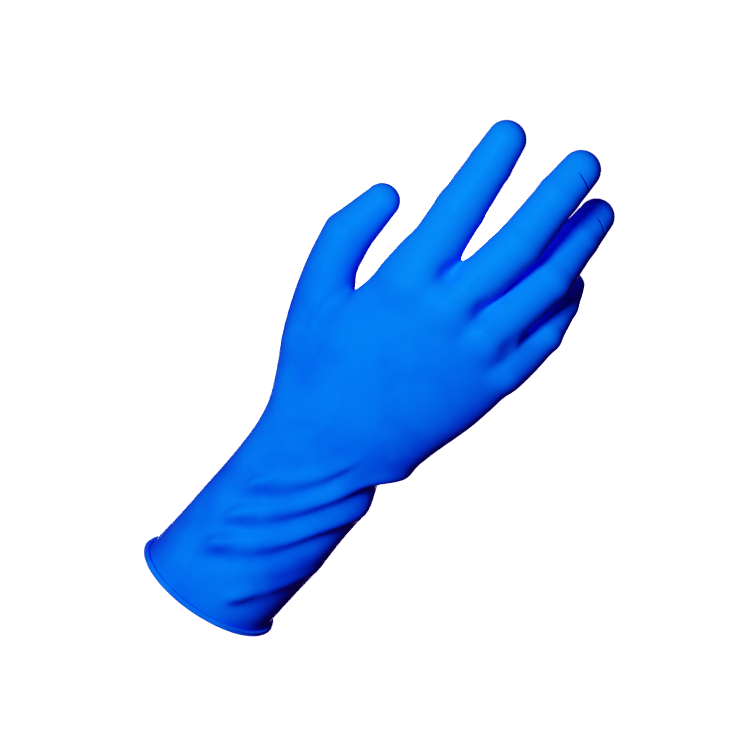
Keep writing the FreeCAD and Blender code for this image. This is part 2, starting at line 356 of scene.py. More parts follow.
def thumb_bars():
    """Places and radii along the thumb, on a smooth curve from beside the wrist to its end."""
    places = np.array([THUMB_BASE, THUMB_MOUND, THUMB[0], (THUMB[0] + THUMB[1]) / 2, THUMB[1]])
    places[2:] += np.outer(THUMB_SHIFT[:3], [1.0, 0.0, 0.0])
    radii = np.array([THUMB_BASE_RADIUS, THUMB_MOUND_RADIUS, *THUMB_RADII[:3]])
    rows = np.column_stack([places, radii])
    slopes = np.gradient(rows, axis=0)
    shares = np.arange(THUMB_STEPS) / THUMB_STEPS
    curve = [curve_at(rows, slopes, i, t) for i in range(len(rows) - 1) for t in shares]
    end = [*(THUMB[2] + np.array([THUMB_SHIFT[3], 0.0, 0.0])), THUMB_RADII[3]]
    return np.array(curve + [rows[-1], end])


THUMB_BARS = thumb_bars()


def thumb_field(points):
    """Distance to the thumb with its mound."""
    field = None
    for near, far in zip(THUMB_BARS, THUMB_BARS[1:]):
        part = bar(points, near[:3], far[:3], near[3], far[3])
        field = part if field is None else smooth_union(field, part, THUMB_JOIN)
    return field


def fold_relief(points):
    """How far the folds at the wrist stand out from the smooth film, or sink into it."""
    height = points[:, 2]
    angle = np.degrees(np.arctan2(points[:, 0] - ARM_MIDDLE, -points[:, 1]))
    side = np.radians(np.clip(angle, -90, 90))
    round_arm = np.sin(side) + np.maximum(angle - 90, 0.0) / PAST_SIDE
    bend = FOLD_STEEPEN * np.maximum(np.sin(side), 0.0) ** 3
    relief = np.zeros(len(points))
    spread = 1 + FOLD_SPREAD * ease(angle, *FOLD_WIDENS)
    for middle, climb, start, end, depth, extra, width in FOLDS:
        line = middle + ARM_RADIUS * (climb * round_arm + bend)
        across = (height - line) / math.hypot(1, climb)
        stops = 1 - ease(angle, end - FOLD_STOPS, end)
        amount = (depth + extra * ease(angle, *FOLD_DEEPENS)) * stops
        head = 1 + HEAD_RISE * bell(angle - start - HEAD_ANGLE, HEAD_WIDTH)
        ridge = RIDGE_SHARE * bell(across - RIDGE_STEP, RIDGE_WIDTH)
        ridge *= head * ease(angle - start, *RIDGE_STARTS)
        valley = ease(angle - start, 0.0, VALLEY_STARTS) * bell(across, width * spread)
        relief += amount * (ridge - valley)
    fades = ease(height, *FOLDS_BEGIN) * (1 - ease(height, *FOLDS_END))
    return relief * fades * sizes().fold_depth / (FOLDS_MEANT_FOR * MM)


def tendon_relief(points):
    """How far the tendons stand out on the back of the knuckles."""
    lift = np.zeros(len(points))
    flat = points[:, [0, 2]]
    for near_x, near_z, far_x, far_z in TENDONS:
        near, run = np.array([near_x, near_z]), np.array([far_x - near_x, far_z - near_z])
        t = np.clip((flat - near) @ run / run.dot(run), 0.0, 1.0)
        apart = np.linalg.norm(flat - near - t[:, None] * run, axis=1)
        lift += TENDON_RISE * bell(apart, TENDON_WIDTH)
    return lift * (1 - ease(points[:, 1], *TENDON_FADE))


def crease_frame(finger):
    """Directions across, sideways and out of the back at the nail's edge of a finger."""
    line = FINGERS[finger]
    way, back = unit(line[3] - line[2]), FINGER_BACKS[finger][2]
    side = np.cross(back, way)
    side = side * np.sign(side[0])
    return unit(way + CREASE_LEAN * side), side, back


def beside_nails(points):
    """For each crease: how far points lie past it, to its side and out of the back, and if near."""
    for finger, short in CREASE_BACK.items():
        across, side, back = crease_frame(finger)
        off = points - FINGERS[finger][3]
        close = np.linalg.norm(off, axis=1) < NAIL_REACH
        yield off @ across + short, off @ side, off @ back, close


def crease_groove(points):
    """How deep the film dips past the edges of the fingernails."""
    sink = np.zeros(len(points))
    for past, beside, out, close in beside_nails(points):
        share = ease(beside, *CREASE_STARTS) * ease(out, *CREASE_ENDS) * close
        sink += CREASE_DEPTH * share * bell(past, CREASE_HALF)
    return sink


def by_crease(points):
    """True for points close to the edge of a fingernail."""
    found = np.zeros(len(points), bool)
    for past, beside, out, close in beside_nails(points):
        here = (np.abs(past) < CREASE_MARGIN) & (beside > CREASE_STARTS[0] - CREASE_PAST)
        found |= here & (out > CREASE_ENDS[0] - CREASE_PAST) & close
    return found


def web_hollows(points):
    """How far the film sinks on the back of the hand below each web."""
    sink = np.zeros(len(points))
    for x, height, radius, depth in WEB_HOLLOWS:
        apart = np.hypot(points[:, 0] - x, (points[:, 2] - height) * HOLLOW_SHAPE)
        sink += depth * bell(apart, radius)
    return sink * (1 - ease(points[:, 1], *HOLLOW_FADE))


def mouth_sag(x, height):
    """How far the film sinks below the frame's level near the mouth."""
    return (MOUTH_DROP - MOUTH_TILT * x) * (1 - ease(height, 0.0, MOUTH_FADE))


def branches(points):
    """Distances to the hand, the thumb and each finger, one row each."""
    rows = [palm_field(points), thumb_field(points)]
    rows += [finger_field(points, name) for name in FINGERS]
    return np.array(rows)


def skin_field(points):
    """Distance to the outside of the film."""
    rows = branches(points)
    fingers = rows[2]
    for row, fillet in zip(rows[3:], WEB_FILLETS):
        fingers = smooth_union(fingers, row, fillet)
    hand = smooth_union(rows[0], rows[1], sizes().thumb_fillet / MM)
    whole = smooth_union(hand, fingers, sizes().web_fillet / MM)
    raised = fold_relief(points) + tendon_relief(points)
    return whole - raised + web_hollows(points) + crease_groove(points)


def gradient(points):
    """Slope of the field at each point."""
    slopes = np.empty_like(points)
    for axis in range(3):
        shift = np.zeros(3)
        shift[axis] = SLOPE_STEP
        rise = skin_field(points + shift) - skin_field(points - shift)
        slopes[:, axis] = rise / (2 * SLOPE_STEP)
    return slopes


def settle(points, rounds=3):
    """Points moved onto the surface of the skin."""
    for _ in range(rounds):
        slope = gradient(points)
        squared = np.maximum((slope**2).sum(axis=1), LEAST_SLOPE)
        points = points - slope * (skin_field(points) / squared)[:, None]
    return points


# ---------------------------------------------------------------- the skin as a mesh

ROOM_BELOW = 9.0              # mm of grid past the frame's box, at its low sides
ROOM_ABOVE = 7.0              # and at its high sides


def sample(cell):
    """Field on a grid round the whole glove: its lowest corner and its values."""
    low = np.array(CAD_BOX[0]) / MM - ROOM_BELOW
    high = np.array(CAD_BOX[1]) / MM + ROOM_ABOVE
    counts = np.ceil((high - low) / cell).astype(int)
    steps = [low[i] + cell * np.arange(counts[i]) for i in range(3)]
    values = np.empty(counts)
    for k, height in enumerate(steps[2]):
        x, y = np.meshgrid(steps[0], steps[1], indexing="ij")
        layer = np.stack([x.ravel(), y.ravel(), np.full(x.size, height)], axis=1)
        values[:, :, k] = skin_field(layer).reshape(x.shape)
    return low, values


def net(low, values, cell):
    """Vertices and outward-facing quads of the zero surface of a sampled field."""
    inside = values < 0
    shape = np.array(values.shape) - 1
    corners = [np.array([c & 1, c >> 1 & 1, c >> 2]) for c in range(8)]
    window = [tuple(slice(o, o + n) for o, n in zip(corner, shape)) for corner in corners]
    count = sum(inside[w].astype(np.int8) for w in window)
    cells = np.argwhere((count > 0) & (count < 8))
    held = [values[tuple((cells + corner).T)] for corner in corners]
    total, crossings = np.zeros((len(cells), 3)), np.zeros(len(cells))
    for a in range(8):
        for bit in (1, 2, 4):
            if a & bit:
                continue
            first, second = held[a], held[a | bit]
            crosses = (first < 0) != (second < 0)
            share = np.where(crosses, first / np.where(crosses, first - second, 1.0), 0.0)
            place = corners[a] + share[:, None] * (corners[a | bit] - corners[a])
            total += place * crosses[:, None]
            crossings += crosses
    vertices = low + cell * (cells + total / crossings[:, None])
    index = np.full(shape, -1)
    index[tuple(cells.T)] = np.arange(len(cells))
    quads = []
    for axis in range(3):
        ahead = np.eye(3, dtype=int)
        u, v = ahead[(axis + 1) % 3], ahead[(axis + 2) % 3]
        below = inside[tuple(slice(0, -1) if i == axis else slice(None) for i in range(3))]
        above = inside[tuple(slice(1, None) if i == axis else slice(None) for i in range(3))]
        edge = np.argwhere(below != above)
        edge = edge[(edge[:, (axis + 1) % 3] > 0) & (edge[:, (axis + 2) % 3] > 0)]
        edge = edge[(edge[:, (axis + 1) % 3] < shape[(axis + 1) % 3])]
        edge = edge[(edge[:, (axis + 2) % 3] < shape[(axis + 2) % 3])]
        ring = [index[tuple((edge + o).T)] for o in (-u - v, -v, 0 * u, -u)]
        ring = np.array(ring).T
        outward = below[tuple(edge.T)]
        quads.append(np.where(outward[:, None], ring, ring[:, ::-1]))
    return vertices, np.concatenate(quads)


# ---------------------------------------------------------------- zones and the cuts between them

ARM_REACH = 60.0              # mm from its centre that a cut goes, across the arm and hand
ROOT_REACH = 30.0             # across the thumb's root
FINGER_REACH = 26.0           # across a finger or the thumb
CUT_BAND = 3.0                # to either side of a cut, where it may divide faces
SNAP = 0.25                   # corners this close to a cut count as on it
THUMB_CLEAR = 130.0           # above this height the arm's cuts leave the thumb out
SLANT_RADIUS = 12.0           # of the film inside two slanted cuts


class Cut:
    """A plane that separates two zones, over the faces that one test picks."""

    def __init__(self, place, normal, picks, width=ARM_REACH):
        self.place = np.asarray(place, float)
        self.normal = unit(np.asarray(normal, float))
        self.picks = picks
        self.width = width

    def beyond(self, points):
        """True for points on the side that the normal points to."""
        return (points - self.place) @ self.normal > 0


def along(place, direction, distance):
    """The point of a line through place that lies at a distance along direction."""
    return place + direction * (distance - place @ direction)


def nearest(points):
    """Number of the nearest branch: 0 hand, 1 thumb, 2 to 5 fingers."""
    return branches(points).argmin(axis=0)


def nearest_finger(points):
    """Number of the nearest finger, 0 index to 3 little."""
    return branches(points)[2:].argmin(axis=0)


def body_cuts():
    """Cuts square to the arm and along the fold across the palm, with the zones between them."""
    heights = [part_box(node)[1].z / MM for node in ("cuff", "wrist_side_sleeve", "wrist_band",
                                                    "wrist_flex_sleeve")]
    middle = joint_place("wrist_flex")
    cuts = [Cut([middle[0], middle[1], height], UP, "body") for height in heights]
    across = joint_axis("knuckle_fold")
    square = unit(UP - across * across[2])
    fold = joint_place("knuckle_fold")
    for distance in (reach("hand_shell", square, np.max), reach("knuckle_row", square, np.min)):
        cuts.append(Cut(along(fold, square, distance), square, "body"))
    zones = ["cuff", "wrist_side_sleeve", "wrist_band", "wrist_flex_sleeve", "hand_shell",
             "knuckle_sleeve", "knuckle_row"]
    return cuts, zones


def finger_cuts(name):
    """Cuts square to one finger, with the zones beyond each of them."""
    line = FINGERS[name]
    ways = [unit(line[i + 1] - line[i]) for i in range(3)]
    ends = [
        (0, name + "_proximal", np.min),
        (0, name + "_proximal", np.max),
        (1, name + "_middle", np.min),
        (1, name + "_middle", np.max),
        (2, name + "_tip", np.min),
    ]
    cuts = [Cut(along(line[i], ways[i], reach(node, ways[i], pick)), ways[i], name, FINGER_REACH)
            for i, node, pick in ends]
    return cuts, [name + end for end in ("_proximal", "_pip_sleeve", "_middle", "_dip_sleeve", "_tip")]


def thumb_cuts():
    """Cuts of the thumb, with the zones beyond each of them."""
    root = joint_place("thumb_root_flex")
    ways = [unit(THUMB[i + 1] - THUMB[i]) for i in range(2)]
    turn = Matrix.Rotation(math.radians(-THUMB_ROOT_LEAN), 3, "Y")
    slant = np.array(turn @ Vector(ways[0]))
    end = reach("thumb_proximal", slant, np.min)
    start = 2 * root @ slant - end
    bend_start = reach("thumb_proximal", ways[0], np.max)
    bend_end = reach("thumb_tip", ways[1], np.min)
    cuts = [
        Cut(along(root, slant, start), slant, "thumb", ROOT_REACH),
        Cut(along(root, slant, end), slant, "thumb", ROOT_REACH),
        Cut(along(THUMB[0], ways[0], bend_start), ways[0], "thumb", FINGER_REACH),
        Cut(along(THUMB[1], ways[1], bend_end), ways[1], "thumb", FINGER_REACH),
    ]
    return cuts, ["thumb_root_sleeve", "thumb_proximal", "thumb_ip_sleeve", "thumb_tip"]


def zone_names(points):
    """Name of the zone that holds each point."""
    cuts, zones = body_cuts()
    number = sum(cut.beyond(points).astype(int) for cut in cuts)
    names = np.array(zones, dtype=object)[number]
    row = cuts[-1].beyond(points)
    finger = nearest_finger(points)
    for i, name in enumerate(FINGERS):
        own, labels = finger_cuts(name)
        here = (finger == i) & row & (nearest(points) != 1) & own[0].beyond(points)
        place_labels(names, points, here, own, labels)
    own, labels = thumb_cuts()
    here = (nearest(points) == 1) & own[0].beyond(points)
    place_labels(names, points, here, own, labels)
    return names


def place_labels(names, points, here, cuts, labels):
    """Gives each chosen point the label of the last cut that it lies beyond."""
    for cut, label in zip(cuts, labels):
        here = here & cut.beyond(points)
        names[here] = label


def picked(cut, points):
    """Faces that a cut may go through."""
    close = np.abs((points - cut.place) @ cut.normal) < CUT_BAND
    close &= np.linalg.norm(points - cut.place, axis=1) < cut.width
    chosen = np.zeros(len(points), bool)
    near = np.flatnonzero(close)
    if cut.picks == "body":
        chosen[near] = nearest(points[near]) != 1
        chosen[near[points[near, 2] < THUMB_CLEAR]] = True
    elif cut.picks == "thumb":
        chosen[near] = nearest(points[near]) == 1
    else:
        own = nearest_finger(points[near]) == list(FINGERS).index(cut.picks)
        chosen[near] = own & (nearest(points[near]) != 1)
    return chosen


def cut_skin(vertices, quads):
    """The skin with edges along every cut: vertices, faces and the zone of each face."""
    mesh = bpy.data.meshes.new("skin")
    mesh.from_pydata(vertices.tolist(), [], quads.tolist())
    bm = bmesh.new()
    bm.from_mesh(mesh)
    bpy.data.meshes.remove(mesh)
    every = body_cuts()[0] + thumb_cuts()[0]
    for name in FINGERS:
        every += finger_cuts(name)[0]
    mouth = Cut([0, 0, 0], UP, "body")
    for cut in [mouth] + every:
        faces = list(bm.faces)
        centres = np.array([face.calc_center_median() for face in faces])
        faces = [faces[i] for i in np.flatnonzero(picked(cut, centres))]
        edges = list({edge for face in faces for edge in face.edges})
        corners = list({vertex for face in faces for vertex in face.verts})
        bmesh.ops.bisect_plane(bm, geom=corners + edges + faces, dist=SNAP,
                               plane_co=Vector(cut.place), plane_no=Vector(cut.normal),
                               use_snap_center=True)
    fine = by_crease(np.array([vertex.co for vertex in bm.verts]))
    chosen = {vertex for vertex, near in zip(bm.verts, fine) if near}
    edges = [edge for edge in bm.edges if edge.verts[0] in chosen and edge.verts[1] in chosen]
    bmesh.ops.subdivide_edges(bm, edges=edges, cuts=CREASE_CUTS, use_grid_fill=True)
    bm.verts.ensure_lookup_table()
    bm.verts.index_update()
    places = np.array([vertex.co for vertex in bm.verts])
    faces = [[vertex.index for vertex in face.verts] for face in bm.faces]
    bm.free()
    fine = by_crease(places)
    places[fine] = settle(places[fine])
    centres = np.array([places[face].mean(axis=0) for face in faces])
    zones = zone_names(centres)
    zones[~mouth.beyond(centres)] = None
    return places, faces, zones


def add_object(name, data):
    """A new object in the scene."""
    thing = bpy.data.objects.new(name, data)
    bpy.context.scene.collection.objects.link(thing)
    return thing


def film_zone(zone):
    """One zone of the film as a closed mesh: outside, inside and the edges that join them."""
    skin, faces, zones = whole_skin()
    own = [faces[i] for i in np.flatnonzero(zones == zone)]
    if not own:
        raise RuntimeError("no face of the film lies in zone " + zone)
    used = sorted({corner for face in own for corner in face})
    number = {old: new for new, old in enumerate(used)}
    own = [[number[corner] for corner in face] for face in own]
    outside = skin[used]
    out = gradient(outside)
    out /= np.linalg.norm(out, axis=1)[:, None]
    inside = outside - out * sizes().film / MM
    for places in (outside, inside):
        places[:, 2] -= mouth_sag(places[:, 0], places[:, 2])
    open_edges = {}
    for face in own:
        for a, b in zip(face, face[1:] + face[:1]):
            if (b, a) in open_edges:
                del open_edges[(b, a)]
            else:
                open_edges[(a, b)] = True
    count = len(used)
    inner = [[corner + count for corner in reversed(face)] for face in own]
    rims = [[b, a, a + count, b + count] for a, b in open_edges]
    mesh = bpy.data.meshes.new(zone + "_film")
    mesh.from_pydata((np.concatenate([outside, inside]) * MM).tolist(), [], own + inner + rims)
    mesh.polygons.foreach_set("use_smooth", [True] * len(own + inner) + [False] * len(rims))
    normals = np.concatenate([out, -out])
    corners = np.empty(len(mesh.loops), int)
    mesh.loops.foreach_get("vertex_index", corners)
    split = normals[corners]
    split[len(corners) - 4 * len(rims):] = 0.0
    mesh.normals_split_custom_set(split.tolist())
    return add_object(mesh.name, mesh)


SKIN = {}


def whole_skin():
    """The cut skin, made once."""
    if not SKIN:
        cell = sizes().cell / MM
        vertices, quads = net(*sample(cell), cell)
        SKIN["made"] = cut_skin(settle(vertices), quads)
    return SKIN["made"]


def bend_span(zone):
    """Where a bending zone starts and ends to turn, in metres."""
    if zone.startswith("thumb"):
        cuts, zones = thumb_cuts()
    elif zone.split("_")[0] in FINGERS:
        cuts, zones = finger_cuts(zone.split("_")[0])
    else:
        cuts, zones = body_cuts()
        zones = zones[1:]
    i = zones.index(zone)
    start, end = cuts[i], cuts[i + 1]
    way = unit(end.place - start.place)
    slack = SLANT_RADIUS * math.sin(math.acos(min(1.0, way @ start.normal)))
    if np.allclose(start.normal, end.normal):
        way, slack = start.normal, 0.0
        return start.place * MM, along(start.place, way, end.place @ way) * MM
    return (start.place + way * slack) * MM, (end.place - way * slack) * MM


def place_zone(zone, material):
    """Builds one zone of the film; a zone clear of the joints is tied to its body of the frame."""
    thing = film_zone(zone)
    thing.data.materials.append(material)
    if zone in SLEEVE_JOINT:
        start, end = bend_span(zone)
        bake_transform(thing)
    else:
        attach(thing, BODY_OF[zone])
    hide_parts(zone)
    return thing


# ---------------------------------------------------------------- rolled bead

BEAD_AROUND = 288             # faces round the mouth
BEAD_TURNS = 40               # faces round the roll
BEAD_WAVES = [(3, 0.7, 1.0), (8, 2.1, 0.7), (19, 4.0, 0.5)]   # bulges round the mouth, turn, share
BEAD_FLAT = 0.4 * MM          # cut off the roll where it lies on the film
GROOVE_ANGLE = math.radians(22)
GROOVE_WIDTH = math.radians(17)
GROOVE_WANDER = 0.15


def bead_mesh():
    """The bead as a roll of film round the mouth, with the groove where the roll closes."""
    low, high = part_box("cuff_bead")
    radius = (high.z - low.z) / 2
    middle = high.x - radius
    places = []
    for i in range(BEAD_AROUND):
        a = 2 * math.pi * i / BEAD_AROUND
        wave = sum(share * math.sin(count * a + turn) for count, turn, share in BEAD_WAVES)
        thick = radius * (1 + sizes().bead_unevenness * wave / 2)
        groove = GROOVE_ANGLE + GROOVE_WANDER * math.sin(2 * a)
        for k in range(BEAD_TURNS):
            b = 2 * math.pi * k / BEAD_TURNS
            gap = math.remainder(b - groove, 2 * math.pi)
            r = thick - sizes().bead_groove * math.exp(-((gap / GROOVE_WIDTH) ** 2))
            out, up = max(r * math.cos(b), BEAD_FLAT - radius), r * math.sin(b)
            x = (middle + out) * math.cos(a)
            sag = mouth_sag(x / MM, 0.0) * MM
            places.append((x, (middle + out) * math.sin(a), radius + up - sag))
    faces = []
    for i in range(BEAD_AROUND):
        here, there = i * BEAD_TURNS, (i + 1) % BEAD_AROUND * BEAD_TURNS
        for k in range(BEAD_TURNS):
            after = (k + 1) % BEAD_TURNS
            faces.append((here + k, there + k, there + after, here + after))
    mesh = bpy.data.meshes.new("cuff_bead_roll")
    mesh.from_pydata(places, [], faces)
    mesh.polygons.foreach_set("use_smooth", [True] * len(faces))
    return mesh


# ---------------------------------------------------------------- materials

PALER_FROM = 145.0          # mm above the mouth: from here up the film turns paler towards the fingers
PALER_TO = 215.0
NAIL_SHADED_TIPS = {"middle_tip": "middle", "ring_tip": "ring"}   # tips that show the edge of the nail, with a painted shade line along its crease
# painted shade: dark colour drawn along the nail crease, over its shallow groove in the film
CREASE_PAINTED_SHADE = "#02359A"
CLOUD_SIZE = 26.0             # mm, thick and thin spots
CLOUD_SPAN = (0.3, 0.62)      # of the noise, from the deep colour to the light one
PATCH_SIZE = 9.0              # mm, glossier and duller spots
PEEL_SIZE = 1.1               # mm; about 0.4 on the real film, drawn larger so that it shows
PEEL_DEPTH = 0.05             # mm
FILM_ROUGHNESS = 0.44
BEAD_ROUGHNESS = 0.38


def linear(code):
    """An sRGB hex colour as linear RGB with full alpha."""
    parts = [int(code[i:i + 2], 16) / 255 for i in (1, 3, 5)]
    parts = [c / 12.92 if c <= 0.04045 else ((c + 0.055) / 1.055) ** 2.4 for c in parts]
    return (*parts, 1.0)


def add_node(tree, kind, settings=None, inputs=None, links=None):
    """Adds a node with its settings, socket values and links from other nodes' outputs."""
    node = tree.nodes.new(kind)
    for key, value in (settings or {}).items():
        setattr(node, key, value)
    for key, value in (inputs or {}).items():
        node.inputs[key].default_value = value
    for key, source in (links or {}).items():
        tree.links.new(source, node.inputs[key])
    return node


def new_material(name):
    """A material with an empty node tree and its output."""
    material = bpy.data.materials.new(name)
    material.use_nodes = True
    material.node_tree.nodes.clear()
    return material, add_node(material.node_tree, "ShaderNodeOutputMaterial")


def per_mm(size):
    """Noise scale whose features are size millimetres wide, for coordinates in metres."""
    return 1 / (size * MM)


def nail_crease(tree, place, finger):
    """1 along the crease where the film dips past the edge of a fingernail, 0 elsewhere: the mask of the painted
    crease shade.
    """
    across, side, back = crease_frame(finger)
    rows = [(across, -CREASE_BACK[finger], (CREASE_HALF, 0.0)), (side, 0.0, CREASE_STARTS),
            (back, 0.0, CREASE_ENDS)]
    factor = None
    for direction, offset, (low, high) in rows:
        from_line = add_node(tree, "ShaderNodeVectorMath", {"operation": "DOT_PRODUCT"},
                             {1: Vector(direction)}, {0: place}).outputs["Value"]
        start = (direction @ FINGERS[finger][3] + offset) * MM
        apart = add_node(tree, "ShaderNodeMath", {"operation": "SUBTRACT"}, {1: start}, {0: from_line})
        if direction is across:
            apart = add_node(tree, "ShaderNodeMath", {"operation": "ABSOLUTE"},
                             links={0: apart.outputs[0]})
        share = add_node(tree, "ShaderNodeMapRange", {},
                         {"From Min": low * MM, "From Max": high * MM}, {"Value": apart.outputs[0]})
        share = share.outputs["Result"]
        if factor is not None:
            share = add_node(tree, "ShaderNodeMath", {"operation": "MULTIPLY"},
                             links={0: factor, 1: share}).outputs[0]
        factor = share
    return factor


def dipped_rubber(name, light, deep, roughness, creased=None):
    """Dipped nitrile rubber: satin, evenly dyed through, with cloudy thick and thin spots, paler towards
    the fingers, the faint orange peel of a film dried on its former and, where a finger is named, a painted shade
    line along the crease of its nail."""
    material, output = new_material(name)
    tree = material.node_tree
    place = add_node(tree, "ShaderNodeTexCoord").outputs["Object"]
    clouds = add_node(tree, "ShaderNodeTexNoise", inputs={"Scale": per_mm(CLOUD_SIZE), "Detail": 3.0},
                      links={"Vector": place})
    dye_and_painted_shade = add_node(tree, "ShaderNodeValToRGB", links={"Fac": clouds.outputs["Fac"]})
    for stop, position, colour in zip(dye_and_painted_shade.color_ramp.elements, CLOUD_SPAN, (deep, light)):
        stop.position = position
        stop.color = colour
    height = add_node(tree, "ShaderNodeSeparateXYZ", links={"Vector": place}).outputs["Z"]
    # the film turns paler upwards, towards the fingers
    paler_upwards = add_node(tree, "ShaderNodeMapRange", {"interpolation_type": "SMOOTHSTEP"},
                       {"From Min": PALER_FROM * MM, "From Max": PALER_TO * MM}, {"Value": height})
    dye_and_painted_shade = add_node(tree, "ShaderNodeMix", {"data_type": "RGBA"},
                   links={0: paler_upwards.outputs["Result"], 6: dye_and_painted_shade.outputs["Color"]})
    dye_and_painted_shade.inputs[7].default_value = (*colours().film_near_fingers, 1.0)
    patches = add_node(tree, "ShaderNodeTexNoise", inputs={"Scale": per_mm(PATCH_SIZE), "Detail": 2.0},
                       links={"Vector": place})
    gloss = add_node(tree, "ShaderNodeMapRange", inputs={"To Min": roughness - 0.05,
                                                        "To Max": roughness + 0.06},
                     links={"Value": patches.outputs["Fac"]})
    peel = add_node(tree, "ShaderNodeTexNoise", inputs={"Scale": per_mm(PEEL_SIZE), "Detail": 2.0},
                    links={"Vector": place})
    bump = add_node(tree, "ShaderNodeBump", inputs={"Strength": 0.22, "Distance": PEEL_DEPTH * MM},
                    links={"Height": peel.outputs["Fac"]})
    # painted shade: the nail crease is also darkened in the colour, standing in for the shade in its groove
    if creased:
        crease = nail_crease(tree, place, creased)
        dye_and_painted_shade = add_node(tree, "ShaderNodeMix", {"data_type": "RGBA"}, links={0: crease, 6: dye_and_painted_shade.outputs[2]})
        dye_and_painted_shade.inputs[7].default_value = linear(CREASE_PAINTED_SHADE)
    shader = add_node(
        tree,
        "ShaderNodeBsdfPrincipled",
        inputs={
            "Metallic": 0.0,
            "IOR": 1.52,
            "Specular IOR Level": 0.22,
            "Specular Tint": linear("#0090FF"),
        },
        links={
            "Base Color": dye_and_painted_shade.outputs[2],
            "Roughness": gloss.outputs["Result"],
            "Normal": bump.outputs["Normal"],
        },
    )
    tree.links.new(shader.outputs["BSDF"], output.inputs["Surface"])
    return material


def film_material(finger=None):
    """The film's material, made once; with a painted shade line along the crease of a finger's nail where one is
    named.
    """
    name = "dipped_nitrile_film" + (f"_over_{finger}_nail" if finger else "")
    light, deep = (*colours().film_light, 1.0), (*colours().film_deep, 1.0)
    return bpy.data.materials.get(name) or dipped_rubber(name, light, deep, FILM_ROUGHNESS, finger)


def bead_material():
    """The bead's material: the same rubber, rolled up thick, so a little glossier."""
    light, deep = (*colours().bead, 1.0), (*colours().film_deep, 1.0)
    return dipped_rubber("rolled_nitrile_bead", light, deep, BEAD_ROUGHNESS)


def backdrop_material():
    """White painted board that stays white whatever falls on it."""
    material, output = new_material("white_painted_board")
    shader = add_node(
        material.node_tree,
        "ShaderNodeBsdfPrincipled",
        inputs={
            "Base Color": (*colours().floor, 1.0),
            "Roughness": 0.9,
            "Emission Color": (1.0, 1.0, 1.0, 1.0),
            "Emission Strength": 1.0,
        },
    )
    material.node_tree.links.new(shader.outputs["BSDF"], output.inputs["Surface"])
    return material


# ---------------------------------------------------------------- stage

AIM = Vector((-4.0, 0.0, 140.6)) * MM
LOOK_DOWN = math.radians(22)      # the camera looks down on the back of the hand
ROLL = math.radians(50)           # the glove points to the upper right of the frame
FRAME_WIDTH = 360.6 * MM          # of the plane through AIM
CAMERA_DISTANCE = 8.0             # from far off, so that near and far fingers keep their sizes
SENSOR = 36.0                     # mm
FLOOR_RADIUS = 30.0
LIGHT_DISTANCE = 1.6
KEY_DIRECTION = (-0.31, 0.21, 0.93)   # right, up and back of the camera
KEY_SIZE = 0.5
BACK_SIZE = 0.7
GREEN_TONE = [(0.03, 0.003), (0.05, 0.011), (0.08, 0.032), (0.113, 0.077), (0.154, 0.137),
              (0.2, 0.2)]
BLUE_TONE = [(0.02, 0.02), (0.07, 0.08), (0.175, 0.31), (0.28, 0.52), (0.394, 0.66), (0.537, 0.8),
             (0.646, 0.86), (0.8, 0.93)]


def camera_axes():
    """Right, up and backward directions of the camera."""
    ahead = Vector((0, math.cos(LOOK_DOWN), -math.sin(LOOK_DOWN)))
    above = Vector((0, math.sin(LOOK_DOWN), math.cos(LOOK_DOWN)))
    beside = Vector((1, 0, 0))
    right = above * math.cos(ROLL) + beside * math.sin(ROLL)
    up = above * math.sin(ROLL) - beside * math.cos(ROLL)
    return right, up, -ahead


def add_camera():
    """Camera on the back of the hand, rolled so that the fingers point to the upper right."""
    right, up, back = camera_axes()
    camera = bpy.data.cameras.new("camera")
    camera.sensor_width = SENSOR
    camera.lens = SENSOR * CAMERA_DISTANCE / FRAME_WIDTH
    camera.clip_start = 0.05
    thing = add_object("camera", camera)
    turn = Matrix((right, up, back)).transposed().to_4x4()
    thing.matrix_world = Matrix.Translation(AIM + back * CAMERA_DISTANCE) @ turn
    bpy.context.scene.camera = thing


def add_light(name, towards, size, power):
    """Soft square white light that shines on the glove from a direction."""
    light = bpy.data.lights.new(name, "AREA")
    light.shape = "SQUARE"
    light.size = size
    light.energy = power
    thing = add_object(name, light)
    towards = towards.normalized()
    thing.location = AIM + towards * LIGHT_DISTANCE
    thing.rotation_euler = towards.to_track_quat("Z", "Y").to_euler()


def add_floor():
    """Pale floor well below the glove, too far down to catch its shadow in the picture."""
    bm = bmesh.new()
    bmesh.ops.create_circle(bm, cap_ends=True, segments=96, radius=FLOOR_RADIUS)
    mesh = bpy.data.meshes.new("floor")
    bm.to_mesh(mesh)
    bm.free()
    floor = add_object("floor", mesh)
    floor.location.z = CAD_BOX[0][2] - stage_settings().floor_drop
    mesh.materials.append(backdrop_material())
    floor.visible_diffuse = False
    floor.visible_glossy = False
    floor.visible_shadow = False


def add_world():
    """White surroundings to look at, dim ones to light by."""
    world = bpy.data.worlds.new("studio")
    world.use_nodes = True
    tree = world.node_tree
    tree.nodes.clear()
    seen = add_node(tree, "ShaderNodeLightPath").outputs["Is Camera Ray"]
    dim = add_node(tree, "ShaderNodeBackground", inputs={"Color": linear("#E4ECF8"),
                                                        "Strength": stage_settings().ambient})
    white = add_node(tree, "ShaderNodeBackground", inputs={"Color": linear("#FFFFFF")})
    both = add_node(tree, "ShaderNodeMixShader", links={0: seen, 1: dim.outputs[0], 2: white.outputs[0]})
    output = add_node(tree, "ShaderNodeOutputWorld")
    tree.links.new(both.outputs[0], output.inputs["Surface"])
    bpy.context.scene.world = world


def set_picture_tone():
    """Picture tone of a contrasty print: the green layer sinks in the shadows before the blue."""
    view = bpy.context.scene.view_settings
    view.view_transform = "Standard"
    view.use_curve_mapping = True
    for curve, tone in zip(view.curve_mapping.curves[1:3], (GREEN_TONE, BLUE_TONE)):
        for place in tone:
            curve.points.new(*place)
    view.curve_mapping.update()


# ---------------------------------------------------------------- settings


